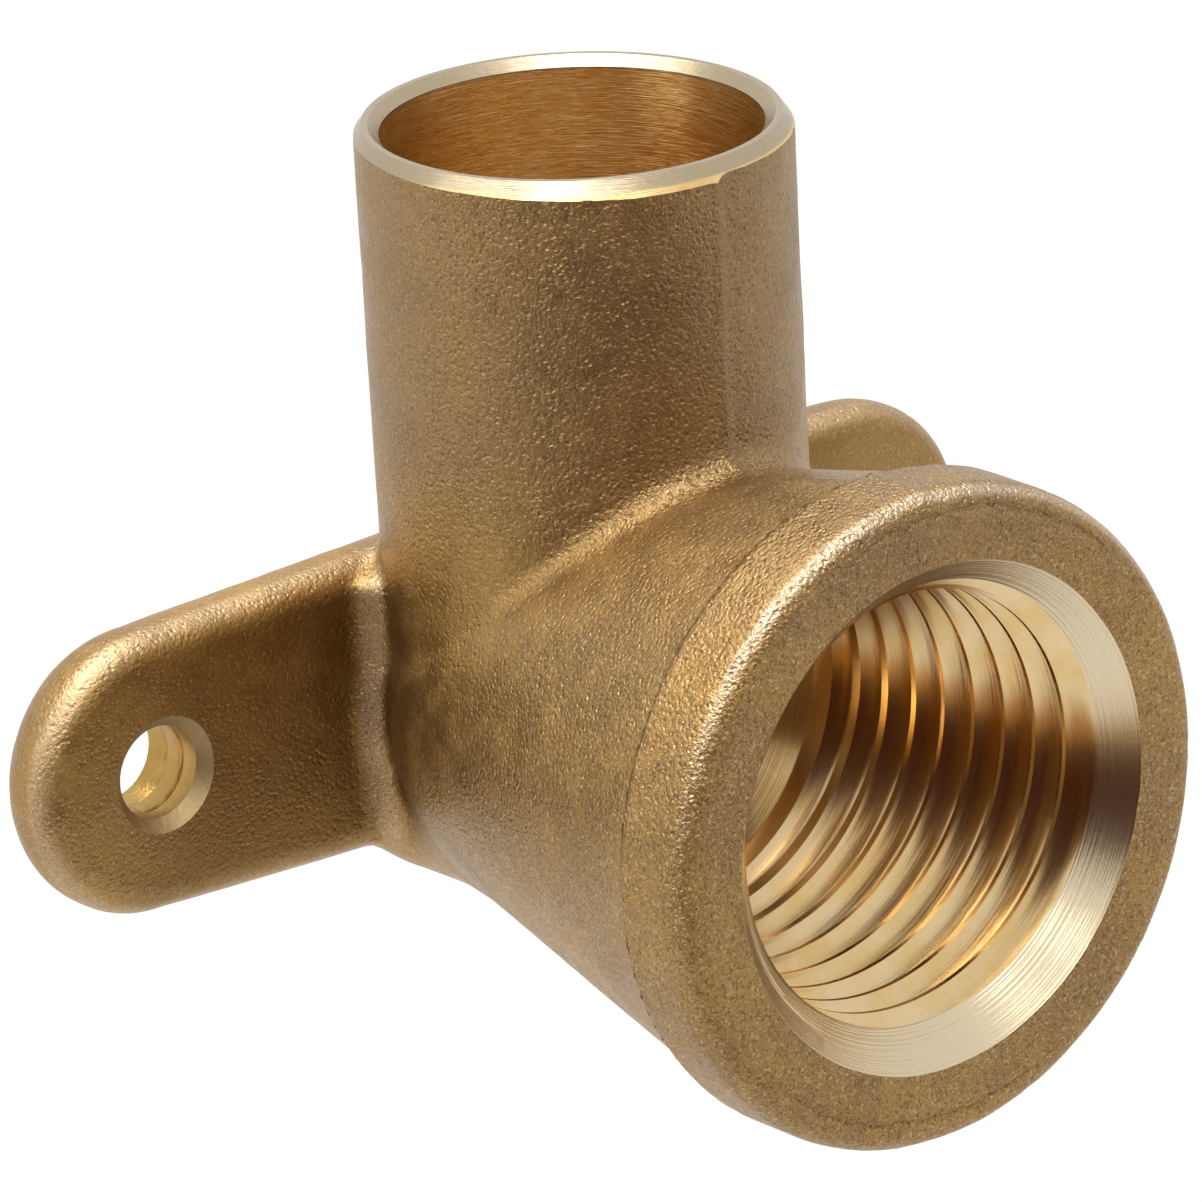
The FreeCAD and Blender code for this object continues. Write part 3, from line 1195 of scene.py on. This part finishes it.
@dataclass(frozen=True)
class TurnedFinish:
    """Bright bronze with fine lines from turning about one axis, and a chamfered edge in its own colour."""

    name: str
    along: Along
    centre: Point
    base: Colour
    warm: Colour
    edge: Colour
    edge_from: float
    edge_soft: float = 0.12
    roughness: float = 0.2
    edge_roughness: float = 0.25
    line_scale: float = 9.0
    line_depth: float = 0.000006
    edge_lines: float = 1.0
    cloud_scale: float = 0.35

    def build(self) -> bpy.types.Material:
        """Makes the material.

        Returns:
            The turned finish.
        """
        material, tree = new_material(self.name)
        mm = tree.place_mm()
        x, y, z = tree.parts(tree.node("ShaderNodeVectorMath", {"operation": "SUBTRACT"},
                                       {0: mm, 1: self.centre}))
        across, depth = (z, 0.0 - y) if self.along is Along.OUTLET else (y, z)
        radius = (x * x + across * across).root()
        groove = tree.node("ShaderNodeCombineXYZ", None, {"X": depth, "Y": radius})
        lines = tree.noise(groove, self.line_scale, 3.0, 0.65)
        cloud = tree.noise(mm, self.cloud_scale, 3.0, 0.6)
        colour = tree.mix(cloud.step(0.35, 0.65), self.base, self.warm)
        colour = tree.mix((1.0 - lines.step(0.30, 0.5)) * 0.25, colour, self.warm)
        end = depth.step(self.edge_from, self.edge_from + self.edge_soft)
        rough = self.roughness + (self.edge_roughness - self.roughness) * end + 0.10 * (lines - 0.5)
        relief = lines * (1.0 + (self.edge_lines - 1.0) * end)
        tree.surface(tree.node("ShaderNodeBsdfPrincipled", None, {
            "Base Color": tree.mix(end, colour, self.edge), "Roughness": rough, "Metallic": 1.0,
            "Normal": tree.bump(relief, self.line_depth)}))
        return material


@dataclass(frozen=True)
class Elbow:
    """The whole fitting: one casting, bored, tapped and drilled."""

    casting: Casting = field(default_factory=Casting)
    cup: CupTool = field(default_factory=CupTool)
    outlet: OutletTool = field(default_factory=OutletTool)
    drill: ScrewDrill = field(default_factory=ScrewDrill)
    rim_edge: float = 0.6
    hole_edge: float = 0.6
    turned_edge_angle: float = 18.0
    cast_edge_angle: float = 50.0

    def finishes(self) -> dict[Skin, bpy.types.Material]:
        """Makes the material of each kind of surface.

        Returns:
            Material by surface.
        """
        casting, outlet = self.casting, self.outlet
        axis = (0.0, casting.cup_axis_y, 0.0)
        centre = (0.0, 0.0, 0.0)
        mouth = outlet.reach - outlet.axis_y - (outlet.mouth_r - outlet.crest_r)
        cast = CastFinish(
            line_at=casting.collar_start + casting.collar_ramp - casting.cup_axis_y,
            front_at=casting.reach - casting.land_height - casting.cup_axis_y,
            ear_front=casting.ear_thickness)
        # The rim's chamfer colour is greyer than the bore's, as its own tone, and darker to hold down the
        # lamps' glare on it: partly its own tone, partly painted shade.
        cup = TurnedFinish(
            "turned_cup", Along.UPRIGHT, axis, base=(0.82, 0.59, 0.28), warm=(0.74, 0.48, 0.18),
            edge=(0.44, 0.355, 0.235), edge_from=self.cup.top - self.rim_edge, roughness=0.26,
            line_scale=22.0, line_depth=0.00002)
        thread = TurnedFinish(
            "cut_thread", Along.OUTLET, centre, base=(0.70, 0.53, 0.30), warm=(0.66, 0.46, 0.20),
            edge=(0.66, 0.55, 0.37), edge_from=mouth, edge_lines=4.0)
        hole = TurnedFinish(
            "drilled_hole", Along.OUTLET, centre, base=(0.48, 0.30, 0.09), warm=(0.40, 0.24, 0.06),
            edge=(0.40, 0.29, 0.15), edge_from=casting.ear_thickness - self.hole_edge, roughness=0.3,
            edge_roughness=0.6, line_scale=2.2, line_depth=0.00005)
        return {Skin.CAST: cast.build(), Skin.CUP: cup.build(), Skin.THREAD: thread.build(),
                Skin.HOLE: hole.build()}

    def build(self) -> bpy.types.Object:
        """Casts, machines and dresses the elbow, and lays it on the frame.

        Returns:
            The finished piece.
        """
        finish = self.finishes()
        cast, thread, hole = finish[Skin.CAST], finish[Skin.THREAD], finish[Skin.HOLE]
        mesh = self.casting.skin(self.casting.blank(), cast)
        mesh = machined(mesh, self.cup.mesh(), (cast, finish[Skin.CUP]))
        for line in self.casting.lines(self.outlet.place()):
            mesh = machined(mesh, line, (cast,))
        mesh = machined(mesh, self.outlet.bore(), (thread,))
        mesh = machined(mesh, self.outlet.tap(thread), (thread,))
        mesh = machined(mesh, self.drill.mesh(hole), (hole,))
        self.dress(mesh, finish)
        mesh.transform(Matrix.Scale(MM, 4))
        mesh.name = "elbow_casting"
        piece = add_object("elbow_casting", mesh)
        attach(piece, "root")
        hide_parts("elbow")
        return piece

    def dress(self, mesh: bpy.types.Mesh, finish: dict[Skin, bpy.types.Material]) -> None:
        """Puts the finishes in order and marks the edges that a tool left sharp.

        Args:
            mesh: The machined casting.
            finish: Material of each kind of surface.
        """
        order = {finish[skin].name: skin.value for skin in Skin}
        slots = [order[material.name] for material in mesh.materials]
        shape = bmesh.new()
        shape.from_mesh(mesh)
        bmesh.ops.remove_doubles(shape, verts=shape.verts, dist=CASTING_WELD)
        for face in shape.faces:
            face.material_index = slots[face.material_index]
            face.smooth = True
        for edge in shape.edges:
            if len(edge.link_faces) != 2:
                continue
            one, two = (face.material_index for face in edge.link_faces)
            turned = one != Skin.CAST.value and two != Skin.CAST.value
            limit = math.radians(self.turned_edge_angle if turned else self.cast_edge_angle)
            edge.smooth = one == two and edge.calc_face_angle(0.0) < limit
        open_edges = sum(len(edge.link_faces) != 2 for edge in shape.edges)
        log.info("elbow: %d faces, %d open edges", len(shape.faces), open_edges)
        mesh.materials.clear()
        for skin in Skin:
            mesh.materials.append(finish[skin])
        shape.to_mesh(mesh)
        shape.free()


@dataclass(frozen=True)
class Lamp:
    """One soft box, with its sizes in metres and its power in watts."""

    name: str
    place: Point
    aim: Point
    size: Span
    power: float

    def build(self) -> None:
        """Adds the lamp, turned towards what it lights."""
        data = bpy.data.lights.new(self.name, "AREA")
        data.shape = "RECTANGLE"
        data.size, data.size_y = self.size
        data.energy = self.power
        lamp = add_object(self.name, data)
        lamp.location = self.place
        lamp.rotation_euler = (Vector(self.aim) - Vector(self.place)).to_track_quat("-Z", "Y").to_euler()


@dataclass(frozen=True)
class Studio:
    """Pale floor, soft light and the camera, in metres and degrees."""

    world_light: float = 0.5
    floor_z: float = -0.050
    floor_size: float = 6.0
    floor_grey: Colour = (0.8, 0.8, 0.8)
    floor_glow: float = 0.75
    camera: Point = (-0.29873, -0.37299, 0.17625)
    azimuth: float = -39.416
    elevation: float = 20.110
    roll: float = -2.364
    focal_px: float = 12000.0
    image_px: float = 1202.0
    sensor_mm: float = 36.0
    clip: Span = (0.01, 20.0)
    lamps: tuple[Lamp, ...] = (
        Lamp("overhead", (-0.10, 0.02, 0.70), (-0.06, 0.01, 0.0), (0.72, 0.52), 7.0),
        Lamp("front_left", (-0.40, -0.36, 0.62), (0.0, -0.02, 0.0), (0.24, 0.24), 1.1),
        Lamp("left_side", (-0.66, 0.10, 0.34), (0.0, -0.01, 0.0), (0.40, 0.50), 0.95))
    # The sheet that paints dark reflections and their warm glow, seen only in the metal.
    mat_rings: tuple[float, ...] = (0.100, 0.124, 0.50, 0.57)
    mat_steps: int = 24
    mat_foot: float = 0.12
    mat_lift: float = 0.001
    mat_slope: float = 0.47
    mat_spread: Span = (-84.0, 14.0)
    painted_warm_glow: Colour = (0.32, 0.17, 0.045)
    painted_dark_reflection: Colour = (0.034, 0.010, 0.005)

    def shine_through(self, tree: Tree) -> Sock:
        """Tells what is looked at from the light that falls.

        Args:
            tree: The tree that asks.

        Returns:
            1 for what the camera sees directly, in metal or through glass, and 0 for other light.
        """
        path = tree.make("ShaderNodeLightPath")
        kinds = ("Is Camera Ray", "Is Glossy Ray", "Is Transmission Ray")
        direct, metal, glass = (Sock(tree, path.outputs[kind]) for kind in kinds)
        return direct.math("MINIMUM", direct + metal + glass, 1.0)

    def matte(self, tree: Tree, colour: Colour) -> Sock:
        """A plain matte shader."""
        return tree.node("ShaderNodeBsdfDiffuse", None, {"Color": (*colour, 1.0)})

    def build_world(self) -> None:
        """White behind the object, softer in the light that it gives."""
        world = bpy.data.worlds.new("studio_world")
        bpy.context.scene.world = world
        world.use_nodes = True
        tree = Tree(world.node_tree)
        strength = self.world_light + (1.0 - self.world_light) * self.shine_through(tree)
        light = tree.node("ShaderNodeBackground", None, {"Color": (1, 1, 1, 1), "Strength": strength})
        tree.make("ShaderNodeOutputWorld", None, {"Surface": light})

    def build_floor(self) -> None:
        """The floor, white to the camera but for the shadow on it."""
        half = self.floor_size / 2
        corners = ((-half, -half), (half, -half), (half, half), (-half, half))
        mesh = mesh_of("floor", [(x, y, self.floor_z) for x, y in corners], [(0, 1, 2, 3)])
        material, tree = new_material("pale_floor")
        glow = tree.node("ShaderNodeEmission", None, {"Color": (1, 1, 1, 1), "Strength": 1.0})
        tree.surface(tree.node("ShaderNodeMixShader", None, {
            0: self.floor_glow * self.shine_through(tree), 1: self.matte(tree, self.floor_grey), 2: glow}))
        mesh.materials.append(material)
        add_object("floor", mesh)

    def build_painted_reflections(self) -> None:
        """A dark sheet round the front, seen only in the metal: painted dark reflections with a painted warm
        glow at their border.
        """
        points, faces = [], []
        rings = len(self.mat_rings)
        low, high = self.mat_spread
        for k in range(self.mat_steps + 1):
            turn = math.radians(low + (high - low) * k / self.mat_steps)
            for reach in self.mat_rings:
                lift = max(self.mat_lift, (reach - self.mat_foot) * self.mat_slope)
                points.append((reach * math.sin(turn), -reach * math.cos(turn), self.floor_z + lift))
        for k in range(self.mat_steps):
            for j in range(rings - 1):
                here, after = k * rings + j, (k + 1) * rings + j
                faces.append((here, after, after + 1, here + 1))
        mesh = mesh_of("painted_reflection_card", points, faces)
        for name, colour in (("painted_warm_glow", self.painted_warm_glow), ("painted_dark_reflection", self.painted_dark_reflection)):
            material, tree = new_material(name)
            tree.surface(self.matte(tree, colour))
            mesh.materials.append(material)
        # The middle ring of faces holds the painted dark reflection.
        for number, face in enumerate(mesh.polygons):
            face.material_index = int(number % (rings - 1) == 1)
        reflection_sheet = add_object("painted_reflection_card", mesh)
        reflection_sheet.visible_camera = False
        reflection_sheet.visible_diffuse = False
        reflection_sheet.visible_shadow = False

    def build_camera(self) -> None:
        """The camera at the photograph's place and angle."""
        az, el, roll = (math.radians(v) for v in (self.azimuth, self.elevation, self.roll))
        level = Vector((math.cos(az), math.sin(az), 0))
        back = Vector((math.sin(az) * math.cos(el), -math.cos(az) * math.cos(el), math.sin(el)))
        upright = back.cross(level)
        right = math.cos(roll) * level + math.sin(roll) * upright
        up = math.cos(roll) * upright - math.sin(roll) * level
        data = bpy.data.cameras.new("camera")
        data.sensor_width = self.sensor_mm
        data.lens = self.sensor_mm * self.focal_px / self.image_px
        data.clip_start, data.clip_end = self.clip
        camera = add_object("camera", data)
        turned = Matrix((right, up, back)).transposed().to_4x4()
        camera.matrix_world = Matrix.Translation(self.camera) @ turned
        bpy.context.scene.camera = camera

    def build(self) -> None:
        """Builds the whole studio."""
        bpy.context.scene.view_settings.view_transform = "Standard"
        self.build_world()
        self.build_floor()
        self.build_painted_reflections()
        for lamp in self.lamps:
            lamp.build()
        self.build_camera()


def main() -> None:
    """Builds the elbow and its studio."""
    logging.basicConfig(level=logging.INFO, format="%(name)s: %(message)s")
    piece = Elbow().build()
    log.info("piece %s: %d triangles", piece.name, sum(len(p.vertices) - 2 for p in piece.data.polygons))
    Studio().build()


if __name__ == "__main__":
    main()
